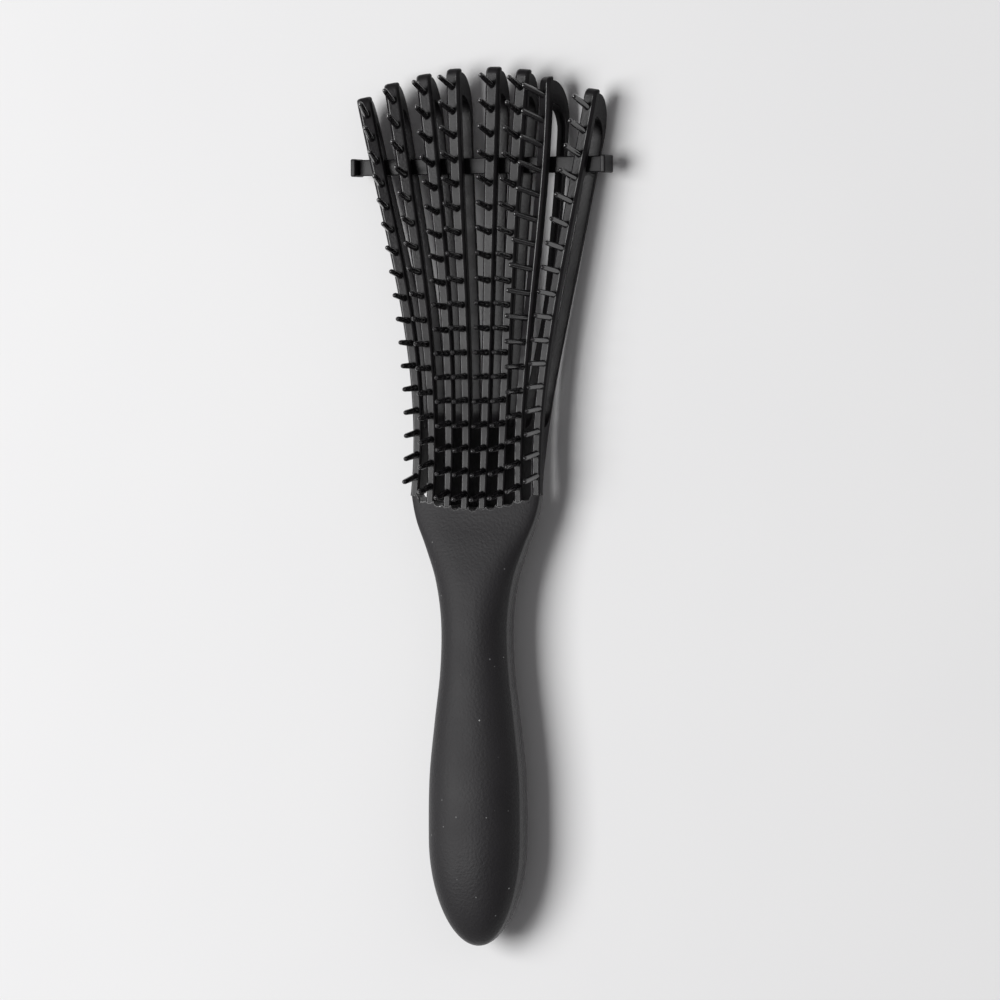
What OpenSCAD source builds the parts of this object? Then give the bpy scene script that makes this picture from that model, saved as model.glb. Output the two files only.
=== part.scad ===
// Detangling brush, lying on its back: +Y towards the tips, +Z along the pins.
// Eight hairpin arms spread from the neck of a two-shell handle, each with a front rail that
// carries one row of pins and a thin back leg. A flat band runs through the windows between them.

/* [Arms] */
// Spacing of the arm roots across the neck
root_pitch = 5.25; // [5:0.05:5.6]
// Width of a rail at its root
rail_root_w = 2.3; // [1.8:0.1:2.6]
// Width of a rail at its tip
rail_tip_w = 4.2; // [3.4:0.1:4.4]
// Thickness of a rail, front to back
rail_t = 1.9; // [1.6:0.1:2.2]
// Width of the bevel along a rail's front edges, as a share of the rail's width
bevel_share = 0.17; // [0.05:0.01:0.3]
// Depth of an arm from the rail's front face to the back of its leg
arm_depth = 8; // [7.5:0.1:8.6]
// Thickness of a back leg
leg_t = 1.2; // [1:0.1:1.5]
// Height of the front face at the roots
root_z = 12.65; // [11.5:0.05:13]
// Length of the arch at a tip, outside
arch_len = 11.5; // [9:0.5:13]
// Solid length of the arch between the tip and the top of the window
arch_solid = 7.2; // [5:0.1:8]
// Distance from the neck at which a window begins
window_start = 21; // [12:0.5:26]

/* [Pins] */
// Length of a pin above the rail
pin_len = 7.5; // [6:0.1:9]
// Radius of a pin at its root
pin_root_r = 0.92; // [0.7:0.01:1]
// Radius of a pin near its tip
pin_tip_r = 0.7; // [0.5:0.01:0.8]
// Distance of the first pin from an arm's tip
pin_end = 5; // [3.5:0.1:6]

/* [Band] */
// Distance of the band from the neck
strap_y = 91.5; // [80:0.5:95]
// Length of the band between its end blocks
strap_len = 72.6; // [72:0.1:74]
// Place of the band's middle, sideways
strap_x = 0; // [-0.5:0.1:0.5]
// Height of the band, along the arms
strap_w = 4.4; // [3:0.1:5]
// Thickness of the band
strap_t = 1.2; // [0.8:0.1:1.6]
// Height of the band's middle
strap_z = 6.2; // [5.8:0.1:6.6]
// Size of an end block, across, along the arms and front to back
stop_size = [1.5, 4.8, 5.6]; // [1.2:0.1:6]

/* [Handle] */
// Height of the parting plane between the two shells
part_z = 10; // [9:0.1:11]
// Wall thickness of a shell
wall = 2.4; // [1.8:0.1:3]
// Length of the rounded butt
butt_len = 28.1; // [24:0.1:32]
// Where the rounded butt begins
butt_y = -90.1; // [-94:0.1:-86]
// Radius of the round seat that an arm's root turns in
seat_r = 1.5; // [1.4:0.05:1.8]
// Gap between a root and its seat
seat_gap = 0.12; // [0.08:0.01:0.2]

/* [Hidden] */
ARMS = 8;
// The front face is three flat tangent arcs seen from the side: length and turn of each, in mm and degrees.
face_arcs = [[25, 0.8], [50, 1.4], [50, 1.4]];
face_start_slope = 0.2;
// Sideways place of each arm's middle line, 50, 92 and 118 mm from the neck.
x_at_50 = [-19.9, -14.7, -8.3, -3.0, 4.2, 9.9, 15.5, 22.1];
x_at_92 = [-29.4, -21.5, -12.7, -5.8, 4.6, 11.9, 19.2, 30.0];
x_at_118 = [-35.6, -26.4, -16.3, -7.2, 4.8, 13.6, 19.7, 34.3];
// Length of each arm along its front face.
arm_len = [110.7, 114.4, 116.6, 117.9, 118.2, 117.4, 115.2, 111.8];
// Twist of each arm about its own length, in degrees, and the place where it is complete.
twist = [-16, -10, -4, 4, 1, 4, 27, 11];
twist_from = [20, 20, 20, 20, 20, 20, 22, 20];
twist_by = [110, 110, 110, 110, 110, 110, 58, 70];
// Pins: how many on each arm, and the place of the one nearest to the neck.
pin_count = [17, 17, 18, 18, 18, 18, 17, 17];
pin_first = [8, 5.3, 3.7, 3.3, 3.1, 3.5, 5.2, 7.9];
// Share by which the pins crowd towards the neck in the middle of an arm.
pin_crowd = 0.03;
// Lean of the pins, in degrees: at the neck towards the handle, at the tip towards the tip.
pin_lean = [12, 18];
// Where each arm's root turns: the outer arms start a little further from the handle.
root_y = [for (i = [0 : ARMS - 1]) 0.6 + 0.3 * pow(i - 3.5, 2)];
// The head is slightly crowned across: the outer arms lie lower.
arm_drop = [for (i = [0 : ARMS - 1]) 0.09 * pow(i - 3.5, 2)];
// Slots between the arms at the neck.
slot_r = 1.4;
// Length over which a window rounds open.
window_round = 5;
slot_y = [for (j = [1 : ARMS - 1]) -1.1 + 0.38 * pow(j - 4, 2)];
// Handle sections: place along Y, half width, depth of the front and of the back shell,
// and fullness of the corners, where 2 is an ellipse.
sections = [
    [8, 19.6, 2.1, 4.5, 3.3], [2, 19.0, 2.3, 4.6, 3.2], [-4, 17.6, 3.2, 5.0, 3], [-11, 14.7, 4.9, 6.1, 2.75],
    [-20, 11.5, 6.7, 7.6, 2.5], [-31, 9.8, 7.7, 8.4, 2.35], [-44, 10.1, 8.0, 8.5, 2.3],
    [-58, 11.8, 8.7, 9.1, 2.3], [-72, 13.3, 9.4, 9.7, 2.3], [-86, 13.6, 9.8, 10, 2.3],
    [-100, 13.4, 9.6, 9.8, 2.3], [-114, 13, 9.2, 9.4, 2.3], [-128, 12, 8.6, 8.8, 2.3]];
ring_steps = 20;
handle_rings = 36;
cavity_rings = 14;
cavity_from = -26;
// Facets of the exact round parts.
$fn = 32;
plastic = [0.16, 0.16, 0.165];
soft_touch = [0.13, 0.13, 0.135];

function clamp01(t) = min(1, max(0, t));
function smooth(t) = let (c = clamp01(t)) c * c * (3 - 2 * c);

// Point [y, z, slope] of the front face at distance s, starting in arc k at point p.
function face_at(s, k = 0, p = [0, root_z, face_start_slope]) =
    let (arc = face_arcs[k], last = k == len(face_arcs) - 1, d = last ? s : min(s, arc[0]),
         turn = arc[1] / arc[0], slope = p[2] - turn * d, r = 180 / (PI * turn),
         q = [p[0] + r * (sin(p[2]) - sin(slope)), p[1] + r * (cos(slope) - cos(p[2])), slope])
    last || s <= arc[0] ? q : face_at(s - arc[0], k + 1, q);

// Cubic through the four sideways places of arm i.
function arm_x(i, s) =
    let (x = [root_pitch * (i - 3.5), x_at_50[i], x_at_92[i], x_at_118[i]], at = [0, 50, 92, 118])
    x[0] * (s - at[1]) * (s - at[2]) * (s - at[3]) / ((at[0] - at[1]) * (at[0] - at[2]) * (at[0] - at[3]))
    + x[1] * (s - at[0]) * (s - at[2]) * (s - at[3]) / ((at[1] - at[0]) * (at[1] - at[2]) * (at[1] - at[3]))
    + x[2] * (s - at[0]) * (s - at[1]) * (s - at[3]) / ((at[2] - at[0]) * (at[2] - at[1]) * (at[2] - at[3]))
    + x[3] * (s - at[0]) * (s - at[1]) * (s - at[2]) / ((at[3] - at[0]) * (at[3] - at[1]) * (at[3] - at[2]));

// Frame of arm i at distance s: origin on the front face, sideways and outward directions.
function arm_frame(i, s) =
    let (f = face_at(s), x = arm_x(i, s), splay = atan(arm_x(i, s + 0.5) - arm_x(i, s - 0.5)),
         side = [cos(splay), -sin(splay), 0],
         out = [-sin(f[2]) * sin(splay), -sin(f[2]) * cos(splay), cos(f[2])],
         a = twist[i] * smooth((s - twist_from[i]) / (twist_by[i] - twist_from[i])))
    [[x, f[0], f[1] - arm_drop[i]], side * cos(a) + out * sin(a), out * cos(a) - side * sin(a)];

// Place at distance s along arm i, u to the side and v below the front face.
function on_arm(i, s, u, v) = let (f = arm_frame(i, s)) f[0] + u * f[1] - v * f[2];

function rail_w(s) = rail_root_w + (rail_tip_w - rail_root_w) * s / 118;

// Height of the back shell's outside at x, y.
function shell_back(x, y) = let (p = section(y, 4))
    part_z - section(y, 3) * pow(1 - pow(abs(x) / section(y, 1), p), 1 / p);

// Depth of the back of leg i below the front face: flush with the back shell at the neck, full further out.
function leg_back(i, s) =
    let (root = root_z - arm_drop[i] - shell_back(root_pitch * (i - 3.5), root_y[i] - 1))
    root + (arm_depth - root) * sin(90 * clamp01((s - 6) / 44));

// Depth of the window's floor, on the front of leg i: it closes in a round end at the neck.
function window_floor(i, s) = let (open = clamp01((s - window_start) / window_round))
    rail_t + (leg_back(i, s) - leg_t - rail_t) * sqrt(1 - pow(1 - open, 2));

// Amount by which the outer edge of an outermost leg is drawn in towards the neck.
function tuck(i, s) = i > 0 && i < ARMS - 1 ? 0 : 1.1 * pow(clamp01((32 - s) / 32), 1.3);

// Closed solid through rings of points that all have the same number of points.
module loft(rings) {
    n = len(rings[0]);
    m = len(rings);
    polyhedron([for (ring = rings) each ring],
        concat([[for (k = [0 : n - 1]) k]],
            [for (j = [0 : m - 2], k = [0 : n - 1])
                [j * n + k, (j + 1) * n + k, (j + 1) * n + (k + 1) % n]],
            [for (j = [0 : m - 2], k = [0 : n - 1])
                [j * n + k, (j + 1) * n + (k + 1) % n, j * n + (k + 1) % n]],
            [[for (k = [n - 1 : -1 : 0]) (m - 1) * n + k]]));
}

// Stations along the solid root of an arm, from inside the seat to the window.
function root_stations(i) = let (from = root_y[i] - seat_r) [from, (from + window_start) / 2, window_start];

// Stations along an arm, from inside the seat to the tip.
function stations(i) = let (to = arm_len[i] - arch_solid)
    concat(root_stations(i), [for (k = [1 : 13]) window_start + (to - window_start) * k / 13]);

// Front rail: a flat front with bevelled edges that bends back over the end of the arch.
module rail_bar(i) {
    tip = arm_len[i];
    ends = [[tip - 1, 0.1], [tip - 0.4, 0.4], [tip, 1]];
    rows = concat([for (s = stations(i)) [s, 0]], ends);
    loft([for (row = rows)
        let (s = row[0], front = row[1], h = rail_w(s) / 2, b = h * 2 * bevel_share)
        [on_arm(i, s, -h + b, front), on_arm(i, s, h - b, front),
         on_arm(i, s, h, min(front + b, rail_t - 0.2)), on_arm(i, s, h, rail_t),
         on_arm(i, s, -h, rail_t), on_arm(i, s, -h, min(front + b, rail_t - 0.2))]]);
}

// One pin, standing on z = 0 with its root sunk into the rail.
module pin() {
    rotate_extrude() polygon([[0, -0.7], [pin_root_r, -0.7], [pin_root_r, 0],
        [pin_tip_r, pin_len - 0.55], [pin_tip_r * 0.8, pin_len - 0.2], [pin_tip_r * 0.4, pin_len], [0, pin_len]]);
}

module pins(i) {
    n = pin_count[i];
    last = arm_len[i] - pin_end;
    for (k = [0 : n - 1]) {
        t = k / (n - 1);
        s = pin_first[i] + (last - pin_first[i]) * (t - pin_crowd * t * (1 - t));
        f = arm_frame(i, s);
        lean = -pin_lean[0] + (pin_lean[0] + pin_lean[1]) * t;
        along = cross(f[2], f[1]);
        d = f[2] * cos(lean) + along * sin(lean);
        translate(f[0]) rotate([0, acos(d[2]), atan2(d[1], d[0])]) pin();
    }
}

// Everything behind the round root face of arm i, as a tall prism.
module behind_root(i, r) {
    x = root_pitch * (i - 3.5);
    translate([x, root_y[i], -5]) linear_extrude(30) difference() {
        translate([-6, -8]) square([12, 8]);
        circle(r);
    }
}

module rail(i) {
    color(plastic) difference() {
        union() {
            rail_bar(i);
            pins(i);
        }
        behind_root(i, seat_r);
    }
}

// Back leg: the inner half of the arch, then a thin strip, and a solid web under the rail at the neck.
module leg(i) {
    tip = arm_len[i] - 1;
    top = arm_len[i] - arch_solid;
    inner_len = 7;
    arch = [for (k = [0 : 9]) let (a = k * 90 / 9)
        [tip - arch_len + arch_len * cos(a), rail_t + (arm_depth - rail_t) * sin(a),
         top - inner_len + inner_len * cos(a), rail_t + (arm_depth - leg_t - rail_t) * sin(a)]];
    low = window_start + window_round;
    high = top - inner_len;
    outer_high = tip - arch_len;
    strip = [for (k = [1 : 10]) let (t = k / 10)
        [outer_high + (low - outer_high) * t, high + (low - high) * t]];
    root = root_stations(i);
    web = [low - 1.5, low - 3, low - 4.2, root[2], root[1], root[0]];
    rows = concat(arch, [for (r = strip) [r[0], leg_back(i, r[0]), r[1], window_floor(i, r[1])]],
        [for (s = web) [s, leg_back(i, s), s, window_floor(i, s)]]);
    color(plastic) difference() {
        loft([for (r = rows)
            let (ho = rail_w(r[0]) / 2 - 0.25 * clamp01((arm_len[i] - r[0]) / 20), hi = rail_w(r[2]) / 2,
                 in = tuck(i, r[0]))
            [on_arm(i, r[2], hi, r[3]), on_arm(i, r[2], -hi, r[3]),
             on_arm(i, r[0], (i == 0 ? in : 0) - ho, r[1]), on_arm(i, r[0], ho - (i > 0 ? in : 0), r[1])]]);
        behind_root(i, seat_r);
    }
}

// Value of column c of the sections at y, on a smooth curve through the listed ones.
function section(y, c) =
    let (k = max([for (j = [0 : len(sections) - 2]) sections[j][0] >= y ? j : 0]),
         p0 = sections[max(0, k - 1)], p1 = sections[k], p2 = sections[k + 1],
         p3 = sections[min(len(sections) - 1, k + 2)],
         h = p2[0] - p1[0], t = (y - p1[0]) / h,
         m1 = (p2[c] - p0[c]) / (p2[0] - p0[0]) * h, m2 = (p3[c] - p1[c]) / (p3[0] - p1[0]) * h)
    (2 * t * t * t - 3 * t * t + 1) * p1[c] + (t * t * t - 2 * t * t + t) * m1
    + (3 * t * t - 2 * t * t * t) * p2[c] + (t * t * t - t * t) * m2;

// Half ring of the handle at y, drawn in by inset, above (up = 1) or below (up = -1) the parting plane.
function half_ring(y, up, inset) =
    let (butt = y < butt_y ? sqrt(max(0, 1 - pow((butt_y - y) / (butt_len - inset), 2))) : 1,
         a = (section(y, 1) - inset) * butt, b = (section(y, up > 0 ? 2 : 3) - inset) * butt,
         ring = [for (k = [0 : ring_steps]) let (q = 180 * k / ring_steps,
             c = cos(q), s = sin(q), e = 2 / section(y, 4))
             [a * sign(c) * pow(abs(c), e), y, part_z + up * b * pow(abs(s), e)]])
    up > 0 ? ring : [for (k = [ring_steps : -1 : 0]) ring[k]];

// Rings from the neck to the butt, closer together where the butt rounds off.
function ring_places(from, to, n) = [for (k = [0 : n])
    let (t = k / n) t < 0.7 ? from + (butt_y - from) * t / 0.7
    : butt_y - (butt_y - to) * sin(90 * (t - 0.7) / 0.3)];

module half_handle(up) {
    end = butt_y - butt_len;
    rings = [for (y = ring_places(8, end + 0.02, handle_rings)) half_ring(y, up, 0)];
    inner = [for (y = ring_places(cavity_from, end + wall + 0.05, cavity_rings)) half_ring(y, up, wall)];
    difference() {
        loft(rings);
        loft([for (ring = inner) concat(ring,
            [[ring[ring_steps][0], ring[0][1], part_z - up], [ring[0][0], ring[0][1], part_z - up]])]);
        arm_space();
    }
}

// Room for the arms in the neck's front edge: round slot ends and round root seats.
module arm_space() {
    translate([0, 0, -2]) linear_extrude(24) {
        for (j = [0 : ARMS - 2]) translate([root_pitch * (j - 3), slot_y[j] + slot_r]) {
            circle(slot_r);
            translate([-slot_r, 0]) square([2 * slot_r, 16]);
        }
        for (i = [0 : ARMS - 1]) translate([root_pitch * (i - 3.5), root_y[i]]) {
            circle(seat_r + seat_gap);
            translate([-3, -0.9]) square([6, 16]);
        }
        for (side = [-1, 1]) translate([side * 26 - 6, root_y[0] - 0.9]) square([12, 16]);
    }
}

module handle_front() {
    color(soft_touch) half_handle(1);
}

module handle_back() {
    color(soft_touch) half_handle(-1);
}

module strap() {
    color(plastic) translate([strap_x - strap_len / 2, strap_y - strap_w / 2, strap_z - strap_t / 2])
        cube([strap_len, strap_w, strap_t]);
}

module strap_stop(side) {
    color(plastic) translate([strap_x + side * (strap_len + stop_size[0]) / 2, strap_y, strap_z])
        cube(stop_size, center = true);
}

handle_front();
handle_back();
strap();
strap_stop(-1);  // strap_stop_left
strap_stop(1);  // strap_stop_right
for (i = [0 : ARMS - 1]) {
    rail(i);
    leg(i);
}
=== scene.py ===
import bpy
import numpy as np
from mathutils import Matrix


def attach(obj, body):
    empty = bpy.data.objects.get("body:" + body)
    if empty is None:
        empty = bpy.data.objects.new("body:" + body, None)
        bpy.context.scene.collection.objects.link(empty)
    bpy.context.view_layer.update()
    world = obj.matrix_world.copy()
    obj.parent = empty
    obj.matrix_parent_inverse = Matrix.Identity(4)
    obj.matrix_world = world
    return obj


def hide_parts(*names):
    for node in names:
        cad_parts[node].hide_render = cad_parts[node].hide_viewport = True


# A detangling brush lying on its back, tips towards +Y. The file goes from the handle out to the arms,
# the band through them, and last the table, the lamps and the camera. Sizes are in millimetres.
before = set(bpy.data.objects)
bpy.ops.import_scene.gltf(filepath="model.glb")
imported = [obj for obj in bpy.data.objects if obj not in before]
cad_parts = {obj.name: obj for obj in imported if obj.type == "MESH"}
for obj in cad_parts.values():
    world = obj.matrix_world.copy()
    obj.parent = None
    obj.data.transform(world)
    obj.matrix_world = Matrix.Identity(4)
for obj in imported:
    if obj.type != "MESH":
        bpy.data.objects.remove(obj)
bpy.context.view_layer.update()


# Handle: two moulded shells that meet at a parting line along the sides, with a fine soft-touch coat. The
# wide neck ends in seven round slot ends and eight round seats, where the arms grow out.
PARTING_Z = 10.0
SECTIONS = np.array([  # place, half width, depth of the front and of the back shell, fullness of the corners
    [8, 19.6, 2.1, 4.5, 3.3], [2, 19.0, 2.3, 4.6, 3.2], [-4, 17.6, 3.2, 5.0, 3], [-11, 14.7, 4.9, 6.1, 2.75],
    [-20, 11.5, 6.7, 7.6, 2.5], [-31, 9.8, 7.7, 8.4, 2.35], [-44, 10.1, 8.0, 8.5, 2.3],
    [-58, 11.8, 8.7, 9.1, 2.3], [-72, 13.3, 9.4, 9.7, 2.3], [-86, 13.6, 9.8, 9.99, 2.3],
    [-100, 13.4, 9.6, 9.8, 2.3], [-114, 13.0, 9.2, 9.4, 2.3], [-128, 12.0, 8.6, 8.8, 2.3]])
BUTT_FROM, BUTT_LENGTH = -90.1, 28.075
ROOT_X = 5.25 * (np.arange(8) - 3.5)
ROOT_Y = 0.6 + 0.3 * (np.arange(8) - 3.5) ** 2
SLOT_X = 5.25 * (np.arange(7) - 3.0)
SLOT_Y = -1.1 + 0.38 * (np.arange(7) - 3.0) ** 2
SLOT_RADIUS, SEAT_RADIUS, SEAT_DEPTH, SEAT_REACH = 1.4, 1.53, 0.9, 3.0
SOFTENED_OVER = 0.3
NECK_FROM = -8.0
LIP_AT_SEAT, LIP_AT_SLOT = 0.04, 0.32
FULL_LIP_WITHIN, SLIGHT_LIP_FROM = 0.9, 1.25  # distances from a slot's middle
GROOVE_DEPTH, GROOVE_WIDTH = 0.1, 0.13
GROOVE_FROM, GROOVE_FADE, PARTING_FROM = 0.9, 0.05, 0.985  # shares of the half width
LIP_POLISH, PARTING_POLISH = 0.3, 0.4


def handle_size(y):
    """Half width, front depth, back depth and fullness at y: a cubic through each pair of sections, whose
    slope at a section is that of the line between its two neighbours. On the butt the first three shrink
    as a circle does."""
    s = SECTIONS
    k = np.clip(np.searchsorted(-s[:, 0], -y, side="right") - 1, 0, len(s) - 2)
    p0, p1, p2, p3 = s[np.maximum(k - 1, 0)], s[k], s[k + 1], s[np.minimum(k + 2, len(s) - 1)]
    h = p2[:, :1] - p1[:, :1]
    t = (y[:, None] - p1[:, :1]) / h
    m1 = (p2 - p0) / (p2[:, :1] - p0[:, :1]) * h
    m2 = (p3 - p1) / (p3[:, :1] - p1[:, :1]) * h
    v = (2 * t**3 - 3 * t**2 + 1) * p1 + (3 * t**2 - 2 * t**3) * p2
    v = v + (t**3 - 2 * t**2 + t) * m1 + (t**3 - t**2) * m2
    butt = np.sqrt(np.clip(1 - (np.maximum(BUTT_FROM - y, 0) / BUTT_LENGTH) ** 2, 0, 1))
    return v[:, 1] * butt, v[:, 2] * butt, v[:, 3] * butt, v[:, 4]


def neck_edge(x):
    """Y of the neck's front edge at x: the lower of the nearest round slot end and the nearest round
    seat, joined by a soft minimum that rounds the thin point between them."""
    away = 30
    dx = np.abs(x[:, None] - SLOT_X)
    round_end = SLOT_Y + SLOT_RADIUS - np.sqrt(np.clip(SLOT_RADIUS**2 - dx**2, 0, None))
    slot = np.where(dx < SLOT_RADIUS, round_end, away).min(1)
    dx = np.abs(x[:, None] - ROOT_X)
    round_seat = ROOT_Y - np.sqrt(np.maximum(SEAT_RADIUS**2 - dx**2, SEAT_DEPTH**2))
    seat = np.where(dx < SEAT_REACH, round_seat, away).min(1)
    near = np.clip(SOFTENED_OVER - np.abs(slot - seat), 0, None)
    return np.minimum(slot, seat) - near**2 / (4 * SOFTENED_OVER)


def quads(rows, columns, closed=False):
    """Corner numbers of the quads between a grid's neighbouring points. closed joins its last column to its
    first."""
    r = np.arange(rows - 1)[:, None] * columns
    c = np.arange(columns if closed else columns - 1)[None, :]
    n = (c + 1) % columns
    return np.stack([r + c, r + n, r + columns + n, r + columns + c], -1).reshape(-1, 4)


def piece(name, sheets, material, body, node):
    """One smooth object from sheets of points in mm: (points, faces, turned over or not, polish). It rides
    on a body and stands for its CAD node. The material reads the polish kept at each point."""
    points, faces, polish, start = [], [], [], 0
    for p, f, turned, shine in sheets:
        points.append(p.reshape(-1, 3))
        faces += ((f[:, ::-1] if turned else f) + start).tolist()
        polish.append(np.broadcast_to(shine, p.shape[:-1]).ravel())
        start += len(points[-1])
    mesh = bpy.data.meshes.new(name)
    mesh.from_pydata((np.concatenate(points) * 0.001).tolist(), [], faces)
    mesh.polygons.foreach_set("use_smooth", np.ones(len(mesh.polygons), bool))
    polish_marks = mesh.attributes.new("polish", "FLOAT", "POINT").data
    polish_marks.foreach_set("value", np.concatenate(polish).astype(np.float32))
    mesh.materials.append(material)
    obj = bpy.data.objects.new(name, mesh)
    bpy.context.scene.collection.objects.link(obj)
    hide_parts(node)
    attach(obj, body)


def shell_height(x, y, up):
    """Distance of a shell's outside from the parting line: the rest of the superellipse |x|^n + h^n = 1,
    where n is the fullness."""
    half, front, rear, n = handle_size(np.ravel(y))
    share = np.clip(np.abs(np.ravel(x)) / np.maximum(half, 1e-6), 0, 1)
    return ((front if up > 0 else rear) * (1 - share**n) ** (1 / n)).reshape(np.shape(x))


def neck_outline(c):
    """X and Y of the neck's front edge for shares c of the half width, its outward direction, and the
    radius of the lip over it, which is full at the slots and slight at the seats. The half width changes
    with Y, so Y is found in four rounds."""
    y = np.zeros(len(c))
    for _ in range(4):
        y = neck_edge(handle_size(y)[0] * c)
    x = handle_size(y)[0] * c
    tx, ty = np.gradient(x), np.gradient(y)
    size = np.hypot(tx, ty)
    from_slot = np.abs(x[:, None] - SLOT_X).min(1)
    in_slot = np.clip((SLIGHT_LIP_FROM - from_slot) / (SLIGHT_LIP_FROM - FULL_LIP_WITHIN), 0, 1)
    return x, y, -ty / size, tx / size, LIP_AT_SEAT + (LIP_AT_SLOT - LIP_AT_SEAT) * in_slot


def handle_shell(up):
    """Grid of one shell, up = 1 in front and -1 behind, and its polish. Columns keep a share c of the
    half width, and near the sides they are set by their height over the parting line. Rows run from the
    butt to the neck, close in on its edge, round over it with the lip, and go down the wall to the parting
    line, which has a fine groove. The lip and the line are polished."""
    height = np.array([0, 0.007, 0.014, 0.022, 0.034, 0.05, 0.075, 0.11, 0.15, 0.2, 0.26])
    fullness = SECTIONS[-1, 4]
    side = (1 - height**fullness) ** (1 / fullness)
    c = np.concatenate([-side, np.linspace(-side[-1], side[-1], 441)[1:-1], side[::-1]])
    y = np.concatenate([BUTT_FROM - BUTT_LENGTH * np.sin(np.linspace(np.pi / 2, 0, 30)),
                        np.linspace(BUTT_FROM, NECK_FROM, 60)[1:]])
    body = np.stack([handle_size(y)[0][:, None] * c, np.broadcast_to(y[:, None], (len(y), len(c)))], -1)
    edge_x, edge_y, out_x, out_y, r = neck_outline(c)
    goal_y = edge_y - out_y * r
    goal_c = np.maximum.accumulate(np.clip((edge_x - out_x * r) / handle_size(goal_y)[0], -1, 1))
    t = np.linspace(0, 1, 25)[1:, None]
    neck_y = NECK_FROM + (goal_y - NECK_FROM) * t
    neck_half = handle_size(neck_y.ravel())[0].reshape(neck_y.shape)
    neck = np.stack([neck_half * (c + (goal_c - c) * t**4), neck_y], -1)
    phi = np.linspace(0, np.pi / 2, 6)[1:, None]
    lip = np.stack([edge_x - out_x * r * (1 - np.sin(phi)), edge_y - out_y * r * (1 - np.sin(phi))], -1)
    wall = np.repeat(lip[-1:], 4, axis=0)
    flat = np.concatenate([body, neck, lip, wall])
    z = shell_height(flat[..., 0], flat[..., 1], up)
    lip_row = len(body) + len(neck)
    wall_row = lip_row + len(lip)
    z[lip_row:wall_row] = np.clip(z[lip_row:wall_row] - r * (1 - np.cos(phi)), 0, None)
    z[wall_row:] = z[wall_row - 1] * np.array([0.75, 0.5, 0.25, 0])[:, None]
    at_side = np.clip((np.abs(c) - GROOVE_FROM) / GROOVE_FADE, 0, 1)
    x = flat[..., 0] - np.sign(c) * GROOVE_DEPTH * np.exp(-((z / GROOVE_WIDTH) ** 2)) * at_side
    on_lip = np.arange(len(z))[:, None] >= lip_row - 1
    polish = np.where(on_lip, LIP_POLISH, PARTING_POLISH * (np.abs(c) > PARTING_FROM))
    return np.stack([x, flat[..., 1], PARTING_Z + up * z], -1), polish


def fine_noise(nodes, links, scale, detail):
    """Noise on object coordinates, in patches 1/scale metres across; scale is a number or a socket."""
    coordinates = nodes.new("ShaderNodeTexCoord")
    noise = nodes.new("ShaderNodeTexNoise")
    noise.inputs["Detail"].default_value = detail
    if isinstance(scale, bpy.types.NodeSocket):
        links.new(scale, noise.inputs["Scale"])
    else:
        noise.inputs["Scale"].default_value = scale
    links.new(coordinates.outputs["Object"], noise.inputs["Vector"])
    return noise.outputs["Fac"]


def ramp(nodes, links, value, low, high, from_value=0.0, to_value=1.0):
    """Straight map of a value from low..high to from_value..to_value, held at the ends. Each of these is
    a number or a socket."""
    span = nodes.new("ShaderNodeMapRange")
    for key, number in (("From Min", low), ("From Max", high), ("To Min", from_value), ("To Max", to_value)):
        if isinstance(number, bpy.types.NodeSocket):
            links.new(number, span.inputs[key])
        else:
            span.inputs[key].default_value = number
    links.new(value, span.inputs["Value"])
    return span.outputs["Result"]


def blended(nodes, links, factor, a, b):
    """Colour between a and b by a factor; a and b are colours or sockets."""
    mix = nodes.new("ShaderNodeMix")
    mix.data_type = "RGBA"
    for socket, colour in ((mix.inputs["A"], a), (mix.inputs["B"], b)):
        if isinstance(colour, bpy.types.NodeSocket):
            links.new(colour, socket)
        else:
            socket.default_value = (*colour, 1)
    links.new(factor, mix.inputs["Factor"])
    return mix.outputs["Result"]


def worked_out(nodes, links, operation, a, b):
    """Result of a Math node's operation on two sockets, or on a socket and a number."""
    maths = nodes.new("ShaderNodeMath")
    maths.operation = operation
    links.new(a, maths.inputs[0])
    if isinstance(b, bpy.types.NodeSocket):
        links.new(b, maths.inputs[1])
    else:
        maths.inputs[1].default_value = b
    return maths.outputs["Value"]


# The surface that all the brush's plastics share: colour and roughness drift in soft clouds, a fine grain
# lifts the surface, a few pale points of dust lie on it, and a piece's polished places are smoother.
# Scales are in patches to a metre, and a dust point's radii are shares of its patch.
CLOUD_SCALE, DUST_SCALE = 55, 420
DUST_CORE, DUST_EDGE = 0.06, 0.11
DUST_COLOUR = (0.5, 0.5, 0.5)
moulded_surface = bpy.data.node_groups.new("moulded_surface", "ShaderNodeTree")
surface_nodes, surface_links = moulded_surface.nodes, moulded_surface.links
for name, kind in (("Deep Colour", "Color"), ("Pale Colour", "Color"), ("Smoothest", "Float"),
                   ("Roughest", "Float"), ("Grain Scale", "Float"), ("Dust", "Float")):
    moulded_surface.interface.new_socket(name, in_out="INPUT", socket_type="NodeSocket" + kind)
for name, kind in (("Colour", "Color"), ("Roughness", "Float"), ("Polish", "Float"), ("Height", "Float")):
    moulded_surface.interface.new_socket(name, in_out="OUTPUT", socket_type="NodeSocket" + kind)
given, shown = surface_nodes.new("NodeGroupInput").outputs, surface_nodes.new("NodeGroupOutput").inputs
cloud = fine_noise(surface_nodes, surface_links, CLOUD_SCALE, 3)
tone = ramp(surface_nodes, surface_links, cloud, 0.35, 0.65)
plastic = blended(surface_nodes, surface_links, tone, given["Deep Colour"], given["Pale Colour"])
cells = surface_nodes.new("ShaderNodeTexVoronoi")
cells.inputs["Scale"].default_value = DUST_SCALE
surface_links.new(surface_nodes.new("ShaderNodeTexCoord").outputs["Object"], cells.inputs["Vector"])
point = ramp(surface_nodes, surface_links, cells.outputs["Distance"], DUST_CORE, DUST_EDGE, 1.0, 0.0)
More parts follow.
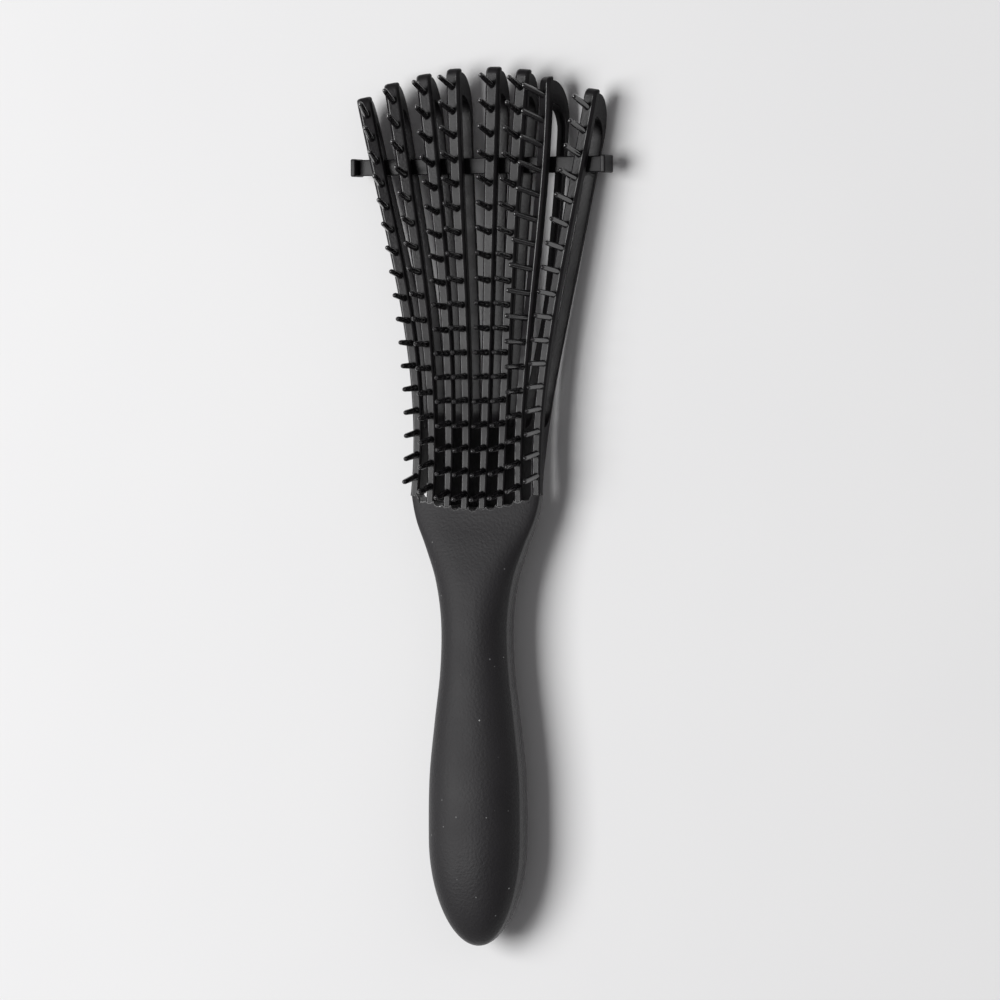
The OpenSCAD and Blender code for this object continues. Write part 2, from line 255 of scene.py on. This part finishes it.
chance = ramp(surface_nodes, surface_links, cells.outputs["Color"], 0.7, 0.9, 0.0, given["Dust"])
dusty = worked_out(surface_nodes, surface_links, "MULTIPLY", point, chance)
surface_links.new(blended(surface_nodes, surface_links, dusty, plastic, DUST_COLOUR), shown["Colour"])
polish_mark = surface_nodes.new("ShaderNodeAttribute")
polish_mark.attribute_name = "polish"
surface_links.new(polish_mark.outputs["Fac"], shown["Polish"])
smoother = worked_out(surface_nodes, surface_links, "MULTIPLY", polish_mark.outputs["Fac"], 0.2)
rough = ramp(surface_nodes, surface_links, cloud, 0.3, 0.7, given["Smoothest"], given["Roughest"])
rough = worked_out(surface_nodes, surface_links, "SUBTRACT", rough, smoother)
surface_links.new(rough, shown["Roughness"])
surface_links.new(fine_noise(surface_nodes, surface_links, given["Grain Scale"], 2), shown["Height"])


def moulded_plastic(name, deep, pale, roughness, specular, grain_scale, grain_height, dust=0.0):
    """Black moulded plastic with the shared surface: its two tones, range of roughness and gloss, its
    grain's patches to a metre and height in mm, and how pale its dust is. Polished places get a thin
    gloss coat."""
    material = bpy.data.materials.new(name)
    material.use_nodes = True
    nodes, links = material.node_tree.nodes, material.node_tree.links
    shader = nodes["Principled BSDF"]
    surface = nodes.new("ShaderNodeGroup")
    surface.node_tree = moulded_surface
    for key, value in (("Deep Colour", (*deep, 1)), ("Pale Colour", (*pale, 1)),
                       ("Smoothest", roughness[0]), ("Roughest", roughness[1]),
                       ("Grain Scale", grain_scale), ("Dust", dust)):
        surface.inputs[key].default_value = value
    for key, target in (("Colour", "Base Color"), ("Roughness", "Roughness"),
                        ("Polish", "Coat Weight")):
        links.new(surface.outputs[key], shader.inputs[target])
    shader.inputs["Specular IOR Level"].default_value = specular
    shader.inputs["Coat Roughness"].default_value = 0.15
    shader.inputs["Coat IOR"].default_value = 1.8
    grain = nodes.new("ShaderNodeBump")
    grain.inputs["Distance"].default_value = grain_height * 0.001
    links.new(surface.outputs["Height"], grain.inputs["Height"])
    links.new(grain.outputs["Normal"], shader.inputs["Normal"])
    return material


soft_touch = moulded_plastic("soft_touch_black", deep=(0.0105, 0.0095, 0.0110),
                             pale=(0.0140, 0.0128, 0.0145), roughness=(0.54, 0.62), specular=0.31,
                             grain_scale=1300, grain_height=0.105, dust=0.8)
soft_touch.node_tree.nodes["Principled BSDF"].inputs["Sheen Weight"].default_value = 0.35
soft_touch.node_tree.nodes["Principled BSDF"].inputs["Sheen Roughness"].default_value = 0.4


def handle_sheets(up):
    """Sheets of one closed shell: its outside, a fan of triangles over the butt's end, and the flat face at
    the parting line. The shell's first row is one point, and its last five rows meet at the corners."""
    shell, polish = handle_shell(up)
    rows, columns = shell.shape[:2]
    k = np.arange(columns - 1)
    fan = np.stack([k, k + 1, np.full(columns - 1, columns)], -1)
    butt_end = np.concatenate([shell[1], shell[0, :1]])
    rim = np.concatenate([shell[0, :1], shell[1:-5, 0], shell[-1], shell[-6:0:-1, -1]])
    return [(shell[1:], quads(rows - 1, columns), up < 0, polish[1:]), (butt_end, fan, up > 0, 0.0),
            (rim, np.arange(len(rim))[None], up < 0, 0.0)]


for name, up in (("handle_front", 1), ("handle_back", -1)):
    piece(name + "_shell", handle_sheets(up), soft_touch, "handle", name)


# Rails: the front of each hairpin arm, a slim bar with bevelled edges that bends back over the tip. Each
# is moulded in one with its row of tapered, round-tipped pins, which lean out like a fan along the arm.
FACE_START_Z, FACE_START_SLOPE = 12.65, 0.2
FACE_TURN_AT, FACE_TURN = [0, 25, 75, 125], [0, 0.8, 2.2, 3.6]  # distance from the neck, degrees turned down
ARM_X_AT = [0, 50, 92, 118]  # distances from the neck at which the arms' sideways places are given
ARM_X = np.array([
    ROOT_X, [-19.9, -14.7, -8.3, -3.0, 4.2, 9.9, 15.5, 22.1],
    [-29.4, -21.5, -12.7, -5.8, 4.6, 11.9, 19.2, 30.0], [-35.6, -26.4, -16.3, -7.2, 4.8, 13.6, 19.7, 34.3]])
ARM_LENGTH = [110.7, 114.4, 116.6, 117.9, 118.2, 117.4, 115.2, 111.8]
ARM_TWIST = [-16, -10, -4, 4, 1, 4, 27, 11]  # degrees, gained between the two distances below
TWIST_FROM = [20, 20, 20, 20, 20, 20, 22, 20]
TWIST_BY = [110, 110, 110, 110, 110, 110, 58, 70]
ARM_DROP = 0.09 * (np.arange(8) - 3.5) ** 2
RAIL_THICKNESS, RAIL_ROOT_WIDTH, RAIL_TIP_WIDTH = 1.9, 2.3, 4.2
BEVEL_SHARE, SIDE_LEFT = 0.17, 0.12  # bevel as a share of the width, and least height of the side under it
TIP_LENGTH, TIP_DROP, TIP_CORNER = 2.2, 1.5, 0.7
EDGE_RADIUS, BACK_EDGE_RADIUS = 0.16, 0.05
ROOT_RADIUS, BAR_FROM = 1.5, 0.6  # distances behind the hinge of the round root and of the next ring
PIN_COUNT = [17, 17, 18, 18, 18, 18, 17, 17]
PIN_FIRST = [8, 5.3, 3.7, 3.3, 3.1, 3.5, 5.2, 7.9]
PIN_END = 5.0  # distance of the last pin from the arm's tip
PIN_CROWD = 0.03  # share by which the pins stand closer at the neck and wider at the tip
PIN_LEAN = (12, 18)  # degrees back at the neck and forwards at the tip
PIN_PROFILE = np.array([  # height above the front face, radius
    [-0.4, 1.02], [0.0, 0.98], [0.5, 0.9], [6.7, 0.71], [7.15, 0.6], [7.42, 0.34], [7.5, 0.02]])


def face_line(s):
    """Y, Z and slope of the front face at distance s from the neck: the slope falls along three flat
    arcs, and Y and Z are its running sums of cosine and sine."""
    step = 0.05
    g = np.arange(-4, 122, step)
    slope = np.radians(FACE_START_SLOPE - np.interp(g, FACE_TURN_AT, FACE_TURN))
    y, z = np.cumsum(np.cos(slope)) * step, np.cumsum(np.sin(slope)) * step
    y, z = y - np.interp(0, g, y), z - np.interp(0, g, z) + FACE_START_Z
    return np.interp(s, g, y), np.interp(s, g, z), np.interp(s, g, slope)


def arm_side(i, s):
    """Sideways place of arm i at s: the cubic through its four measured places."""
    out = 0
    for k in range(4):
        others = [ARM_X_AT[j] for j in range(4) if j != k]
        out = out + ARM_X[k][i] * np.prod([(s - o) / (ARM_X_AT[k] - o) for o in others], axis=0)
    return out


def along_arm(i, s):
    """Origin on the front face, sideways and outward directions at s. The frame follows the arm's slope
    and splay, and turns about the arm by its twist between two places."""
    y, z, slope = face_line(s)
    splay = np.arctan(arm_side(i, s + 0.5) - arm_side(i, s - 0.5))
    side = np.stack([np.cos(splay), -np.sin(splay), 0 * s], -1)
    out = np.stack([-np.sin(slope) * np.sin(splay), -np.sin(slope) * np.cos(splay), np.cos(slope)], -1)
    t = np.clip((s - TWIST_FROM[i]) / (TWIST_BY[i] - TWIST_FROM[i]), 0, 1)
    turn = np.radians(ARM_TWIST[i] * t * t * (3 - 2 * t))[..., None]
    origin = np.stack([arm_side(i, s), y, z - ARM_DROP[i]], -1)
    return origin, side * np.cos(turn) + out * np.sin(turn), out * np.cos(turn) - side * np.sin(turn)


def on_arm(i, s, u, v):
    """Point at s along arm i, u to the side and v below the front face."""
    origin, side, out = along_arm(i, s)
    return origin + u[..., None] * side - v[..., None] * out


def arm_width(s):
    """Full width of a rail or leg at s: it grows evenly from root to tip."""
    return RAIL_ROOT_WIDTH + (RAIL_TIP_WIDTH - RAIL_ROOT_WIDTH) * s / ARM_X_AT[-1]


def softened(corners, radius, steps=3):
    """Rounds the corners of closed outlines. corners is (rows, corners, 2); each corner becomes a short
    curve between points at the radius from it, with one more point beyond at each end so that the flats
    stay flat."""
    before, after = np.roll(corners, 1, 1) - corners, np.roll(corners, -1, 1) - corners
    before /= np.linalg.norm(before, axis=-1, keepdims=True)
    after /= np.linalg.norm(after, axis=-1, keepdims=True)
    r = np.broadcast_to(radius, corners.shape[:2])[..., None, None]
    t = np.linspace(0, 1, steps)[:, None]
    c, b, a = corners[:, :, None], before[:, :, None], after[:, :, None]
    beyond = 1.35
    ring = np.concatenate([c + b * r * beyond, c + r * (b * (1 - t) ** 2 + a * t**2), c + a * r * beyond], 2)
    return ring.reshape(len(corners), -1, 2)


def round_root(i, p):
    """Moves the first row of a bar's points along the arm onto its round root, a circle about its hinge."""
    dx = np.clip(p[0, :, 0] - ROOT_X[i], -ROOT_RADIUS, ROOT_RADIUS)
    p[0, :, 1] = ROOT_Y[i] - np.sqrt(ROOT_RADIUS**2 - dx**2)
    return p


def closed_ends(rings, first, polish=0.0):
    """Sheet of fans of triangles that close rings (count, points, 3) about their middle points. The first
    rings of their bars face backwards, so their fans are turned over."""
    count, around = rings.shape[:2]
    k = np.arange(around)
    fan = np.stack([k, (k + 1) % around, np.full(around, around)], -1)
    faces = (fan + np.arange(count)[:, None, None] * (around + 1)).reshape(-1, 3)
    return np.concatenate([rings, rings.mean(1, keepdims=True)], 1), faces, first, polish


def quarter_ellipse(s, tip, length, depth):
    """How far a quarter ellipse of a length and depth, which ends at the tip, has fallen at s."""
    t = np.clip(s - tip + length, 0, None) / length
    return depth * (1 - np.sqrt(np.clip(1 - t**2, 0, 1)))


def rail_grid(i):
    """Rings of a bevelled bar from the round root to the tip, where the front face drops back along a
    quarter ellipse and the sides close in along a quarter circle."""
    tip = ARM_LENGTH[i]
    tip_arc = tip - TIP_LENGTH + TIP_LENGTH * np.sin(np.linspace(0, np.pi / 2, 9)[1:])
    straight = np.linspace(ROOT_Y[i] - BAR_FROM, tip - TIP_LENGTH, 84)
    s = np.concatenate([[ROOT_Y[i] - ROOT_RADIUS], straight, tip_arc])
    drop = quarter_ellipse(s, tip, TIP_LENGTH, TIP_DROP)
    h = arm_width(s) / 2 - quarter_ellipse(s, tip, TIP_CORNER, TIP_CORNER)
    b = h * 2 * BEVEL_SHARE
    low = np.minimum(drop + b, RAIL_THICKNESS - SIDE_LEFT)
    u = np.stack([-h + b, h - b, h, h, -h, -h], 1)
    v = np.stack([drop, drop, low, 0 * s + RAIL_THICKNESS, 0 * s + RAIL_THICKNESS, low], 1)
    radius = [EDGE_RADIUS] * 3 + [BACK_EDGE_RADIUS] * 2 + [EDGE_RADIUS]
    ring = softened(np.stack([u, v], -1), np.minimum(radius, ((RAIL_THICKNESS - low) * 0.45)[:, None]))
    p = on_arm(i, np.broadcast_to(s[:, None], ring.shape[:2]), ring[..., 0], ring[..., 1])
    return round_root(i, p)


def pin_sheets(i, around=10):
    """All pins of arm i in one sheet, a profile turned about each pin's axis, and their closed feet and
    tips. The pins lean back at the neck and forwards at the arm's tip, and evenly more in between."""
    t = np.arange(PIN_COUNT[i]) / (PIN_COUNT[i] - 1)
    s = PIN_FIRST[i] + (ARM_LENGTH[i] - PIN_END - PIN_FIRST[i]) * (t - PIN_CROWD * t * (1 - t))
    origin, side, out = along_arm(i, s)
    lean = np.radians(-PIN_LEAN[0] + (PIN_LEAN[0] + PIN_LEAN[1]) * t)[:, None]
    along = np.cross(out, side)
    axis = out * np.cos(lean) + along * np.sin(lean)
    across = np.cross(axis, side)
    q = np.arange(around) * 2 * np.pi / around
    height, radius = PIN_PROFILE[None, :, None, None, 0], PIN_PROFILE[None, :, None, None, 1]
    spoke = side[:, None] * np.cos(q)[None, :, None] + across[:, None] * np.sin(q)[None, :, None]
    p = origin[:, None, None] + axis[:, None, None] * height + spoke[:, None] * radius
    one = quads(len(PIN_PROFILE), around, closed=True)
    faces = (one[None] + (np.arange(len(t)) * len(PIN_PROFILE) * around)[:, None, None]).reshape(-1, 4)
    return [(p, faces, False, 1.0), closed_ends(p[:, 0], True, 1.0), closed_ends(p[:, -1], False, 1.0)]


def bar_sheets(p, polish=0.0):
    """Side faces of a bar, with the polish of its rings' points, and its two end faces."""
    sides = (p, quads(*p.shape[:2], closed=True), False, polish)
    return [sides, closed_ends(p[:1], True), closed_ends(p[-1:], False)]


# A rail's ring has five points on each of its six rounded edges. The middle three of the two front edges
# are polished.
FRONT_EDGE_POLISH = 0.3 * np.isin(np.arange(30), [1, 2, 3, 6, 7, 8])
arm_plastic = moulded_plastic("satin_arm_black", deep=(0.0078, 0.0070, 0.0080),
                              pale=(0.0108, 0.0098, 0.0112), roughness=(0.34, 0.46), specular=0.24,
                              grain_scale=1500, grain_height=0.06)
for i in range(8):
    piece(f"rail_{i + 1}_with_pins", bar_sheets(rail_grid(i), FRONT_EDGE_POLISH) + pin_sheets(i), arm_plastic,
          f"arm_{i + 1}", f"rail_{i + 1}")


# Legs: the back of each hairpin arm, moulded in the same plastic. A leg leaves the tip as a solid arch,
# thins to a strip behind the window, and joins the rail again by a solid web about as deep as the neck.
ARM_DEPTH, LEG_THICKNESS, LEG_SHORTER_BY = 8.0, 1.2, 1
ARCH_LENGTH, ARCH_SOLID, INNER_ARCH, WINDOW_START, WINDOW_ROUND = 11.5, 7.2, 7.0, 21.0, 5.0
LEG_DEEPENS_FROM, LEG_FULL_AT = 6, 50
LEG_EDGE_RADIUS, DEEPER_INSIDE = 0.2, 2.3
DRAFT, DRAFT_FROM, DRAFT_FULL_AT, DRAFT_ENDS_OVER = 0.25, 14, 30, 20
OUTER_TUCK, TUCK_WITHIN, TUCK_CURVE = 1.1, 32, 1.3
WEB_AT = ROOT_Y - 1
WEB_DEPTH = FACE_START_Z - ARM_DROP - PARTING_Z + shell_height(ROOT_X, WEB_AT, -1)


def leg_depth(i, s):
    """Depth of the leg's back below the front face: a quarter sine from the web's depth to the full one."""
    t = np.clip((s - LEG_DEEPENS_FROM) / (LEG_FULL_AT - LEG_DEEPENS_FROM), 0, 1)
    return WEB_DEPTH[i] + (ARM_DEPTH - WEB_DEPTH[i]) * np.sin(np.pi / 2 * t)


def window_depth(i, s):
    """Depth of the leg's front: the rail's back along the web, then a quarter ellipse into the window."""
    shut = 1 - np.clip((s - WINDOW_START) / WINDOW_ROUND, 0, 1)
    return RAIL_THICKNESS + (leg_depth(i, s) - LEG_THICKNESS - RAIL_THICKNESS) * np.sqrt(1 - shut**2)


def web_corners(i):
    """How much deeper the neck's back lies under the two sides of arm i's web than under its middle."""
    x = ROOT_X[i] + RAIL_ROOT_WIDTH / 2 * np.array([-1, 1])
    middle = shell_height(ROOT_X, WEB_AT, -1)[i]
    return np.clip(shell_height(x, np.full(2, WEB_AT[i]), -1) - middle, 0, None)


def leg_grid(i):
    """Rings between an outer and an inner line. On the arch both are quarter ellipses about points behind
    the tip; further in they are the leg's back and its front. The back narrows a little by its draft. The
    outermost legs narrow on their outer side at the neck, and the webs reach deeper on the side that faces
    the middle."""
    tip, top = ARM_LENGTH[i] - LEG_SHORTER_BY, ARM_LENGTH[i] - ARCH_SOLID
    a = np.linspace(0, np.pi / 2, 26)
    outer_v = RAIL_THICKNESS + (ARM_DEPTH - RAIL_THICKNESS) * np.sin(a)
    inner_v = RAIL_THICKNESS + (ARM_DEPTH - LEG_THICKNESS - RAIL_THICKNESS) * np.sin(a)
    t = np.linspace(0, 1, 55)[1:]
    low = WINDOW_START + WINDOW_ROUND
    web = np.concatenate([WINDOW_START + WINDOW_ROUND * (1 - np.sin(np.linspace(0, np.pi / 2, 12)[1:])),
                          np.linspace(WINDOW_START, ROOT_Y[i] - BAR_FROM, 9)[1:], [ROOT_Y[i] - ROOT_RADIUS]])
    arch_from, inner_from = tip - ARCH_LENGTH, top - INNER_ARCH
    so = np.concatenate([tip - ARCH_LENGTH * (1 - np.cos(a)), arch_from + (low - arch_from) * t, web])
    si = np.concatenate([top - INNER_ARCH * (1 - np.cos(a)), inner_from + (low - inner_from) * t, web])
    vo = np.concatenate([outer_v, leg_depth(i, so[26:])])
    vi = np.concatenate([inner_v, window_depth(i, si[26:])])
    draft = DRAFT * np.clip((ARM_LENGTH[i] - so) / DRAFT_ENDS_OVER, 0, 1)
    draft = draft * np.clip((so - DRAFT_FROM) / (DRAFT_FULL_AT - DRAFT_FROM), 0, 1)
    ho, hi = arm_width(so) / 2 - draft, arm_width(si) / 2
    tuck = OUTER_TUCK * np.clip((TUCK_WITHIN - so) / TUCK_WITHIN, 0, 1) ** TUCK_CURVE
    thick = np.hypot(so - si, vo - vi)
    deeper = DEEPER_INSIDE * web_corners(i)[:, None] * np.clip((low - so) / low, 0, 1) * (so < WINDOW_START)
    corners = np.stack([np.stack([-hi, 0 * hi], -1), np.stack([hi, 0 * hi], -1),
                        np.stack([ho - tuck * (i == 7), thick + deeper[1]], -1),
                        np.stack([tuck * (i == 0) - ho, thick + deeper[0]], -1)], 1)
    front = np.clip((vi - RAIL_THICKNESS) * 0.5, 0.04, LEG_EDGE_RADIUS)
    back = np.full(len(so), LEG_EDGE_RADIUS)
    ring = softened(corners, np.minimum(np.stack([front, front, back, back], 1), (thick * 0.3)[:, None]))
    w = ring[..., 1] / thick[:, None]
    s = si[:, None] + (so - si)[:, None] * w
    v = vi[:, None] + (vo - vi)[:, None] * w
    return round_root(i, on_arm(i, s, ring[..., 0], v)[::-1])


for i in range(8):
    piece(f"leg_{i + 1}_arched", bar_sheets(leg_grid(i)), arm_plastic,
          f"arm_{i + 1}", f"leg_{i + 1}")


# Band: a flat flexible strip through the windows of all eight arms, which keeps them in a fan. A square
# block on each end is too thick for the windows. They are smooth rubbery plastic with rounded edges.
BAND_Y, BAND_Z, BAND_LENGTH, BAND_WIDTH, BAND_THICKNESS = 91.5, 6.2, 72.6, 4.4, 1.2
BLOCK = (1.5, 4.8, 5.6)


def rounded_box(centre, size, radius, around=5):
    """Rings of a box along X whose four long edges and two ends are rounded with the radius: each ring is
    a rounded rectangle, drawn in near the ends by a quarter circle. No ring's corners are quite sharp."""
    a = np.linspace(0, np.pi / 2, around)
    there_and_back = np.concatenate([a, a[::-1]])
    end = np.repeat([-1, 1], around)
    x = end * (size[0] / 2 - radius * (1 - np.cos(there_and_back)))
    inset = radius * (1 - np.sin(there_and_back))
    q = np.concatenate([a, a + np.pi / 2, a + np.pi, a + 3 * np.pi / 2])
    sy = np.repeat([1, -1, -1, 1], around)
    sz = np.repeat([1, 1, -1, -1], around)
    corner = np.maximum(radius - inset, 0.02)[:, None]
    y = sy * (size[1] / 2 - radius) + np.cos(q) * corner
    z = sz * (size[2] / 2 - radius) + np.sin(q) * corner
    p = np.stack([np.broadcast_to(x[:, None], y.shape), y, z], -1)
    return p + np.array(centre)


band_rubber = moulded_plastic("smooth_band_black", deep=(0.0072, 0.0066, 0.0074),
                              pale=(0.0102, 0.0094, 0.0106), roughness=(0.34, 0.42), specular=0.22,
                              grain_scale=900, grain_height=0.02)
block_x = (BAND_LENGTH + BLOCK[0]) / 2
for name, centre, size, radius in (
        ("strap", (0, BAND_Y, BAND_Z), (BAND_LENGTH, BAND_WIDTH, BAND_THICKNESS), 0.35),
        ("strap_stop_left", (-block_x, BAND_Y, BAND_Z), BLOCK, 0.4),
        ("strap_stop_right", (block_x, BAND_Y, BAND_Z), BLOCK, 0.4)):
    piece(name + "_moulded", bar_sheets(rounded_box(centre, size, radius)), band_rubber, "band", name)


# Table: a wide matt white sheet just under the brush, faintly uneven, that catches its shadow.
table_mesh = bpy.data.meshes.new("table")
span, below = 3.0, -2e-5
table_corners = [(-span, -span, below), (span, -span, below), (span, span, below), (-span, span, below)]
table_mesh.from_pydata(table_corners, [], [(0, 1, 2, 3)])
table = bpy.data.objects.new("table", table_mesh)
bpy.context.scene.collection.objects.link(table)
white = bpy.data.materials.new("matt_white_sheet")
white.use_nodes = True
tree = white.node_tree
uneven = fine_noise(tree.nodes, tree.links, 12, 2)
sheet_colour = blended(tree.nodes, tree.links, uneven, (0.80, 0.80, 0.805), (0.83, 0.83, 0.83))
sheet_shader = tree.nodes["Principled BSDF"]
tree.links.new(sheet_colour, sheet_shader.inputs["Base Color"])
sheet_shader.inputs["Roughness"].default_value = 0.9
sheet_shader.inputs["Specular IOR Level"].default_value = 0.1
table_mesh.materials.append(white)


# Lamps: one large soft lamp high on the left, a weak one on the right, and pale light from all round.
def placed(right, up, back, place):
    """Matrix of a lamp or a camera with its three axes and its place."""
    return Matrix([[right[k], up[k], back[k], place[k]] for k in range(3)] + [[0, 0, 0, 1]])


def lamp(name, place, size, power):
    """A square lamp of a size in metres that points at the middle of the brush."""
    data = bpy.data.lights.new(name, "AREA")
    data.shape = "SQUARE"
    data.size = size
    data.energy = power
    obj = bpy.data.objects.new(name, data)
    bpy.context.scene.collection.objects.link(obj)
    back = np.array(place, float) - [0, 0, 0.01]
    back /= np.linalg.norm(back)
    right = np.cross([0, 1, 0], back)
    right /= np.linalg.norm(right)
    obj.matrix_world = placed(right, np.cross(back, right), back, place)


lamp("key_lamp", (-0.98, 0.0, 1.62), 1.3, 40)
lamp("right_lamp", (0.9, 0.3, 0.8), 0.8, 0.8)
world = bpy.data.worlds.new("studio")
world.use_nodes = True
world.node_tree.nodes["Background"].inputs["Color"].default_value = (1.0, 0.975, 1.0, 1)
world.node_tree.nodes["Background"].inputs["Strength"].default_value = 0.15
bpy.context.scene.world = world
bpy.context.scene.view_settings.view_transform = "Standard"


# Camera: far off with a long lens, 25 degrees round to the right of the brush, so that the right sides of
# the arms show. At the brush a millimetre is 3.725 pixels of the picture, which is 1000 pixels wide.
roll, tilt, distance = np.radians(25), np.radians(0.25), 3000.0
pixels_a_millimetre, aimed_at = 3.725, np.array([6.9, 1.6, 10.0])
back = np.array([np.sin(roll), 0, np.cos(roll)])
right, up = np.array([np.cos(roll), 0, -np.sin(roll)]), np.array([0.0, 1, 0])
screen_right = right * np.cos(tilt) - up * np.sin(tilt)
screen_up = right * np.sin(tilt) + up * np.cos(tilt)
camera_data = bpy.data.cameras.new("camera")
camera_data.sensor_width = 36
camera_data.lens = camera_data.sensor_width * distance / (1000 / pixels_a_millimetre)
camera_data.clip_end = 20
camera = bpy.data.objects.new("camera", camera_data)
camera.matrix_world = placed(screen_right, screen_up, back, (aimed_at + back * distance) * 0.001)
bpy.context.scene.collection.objects.link(camera)
bpy.context.scene.camera = camera
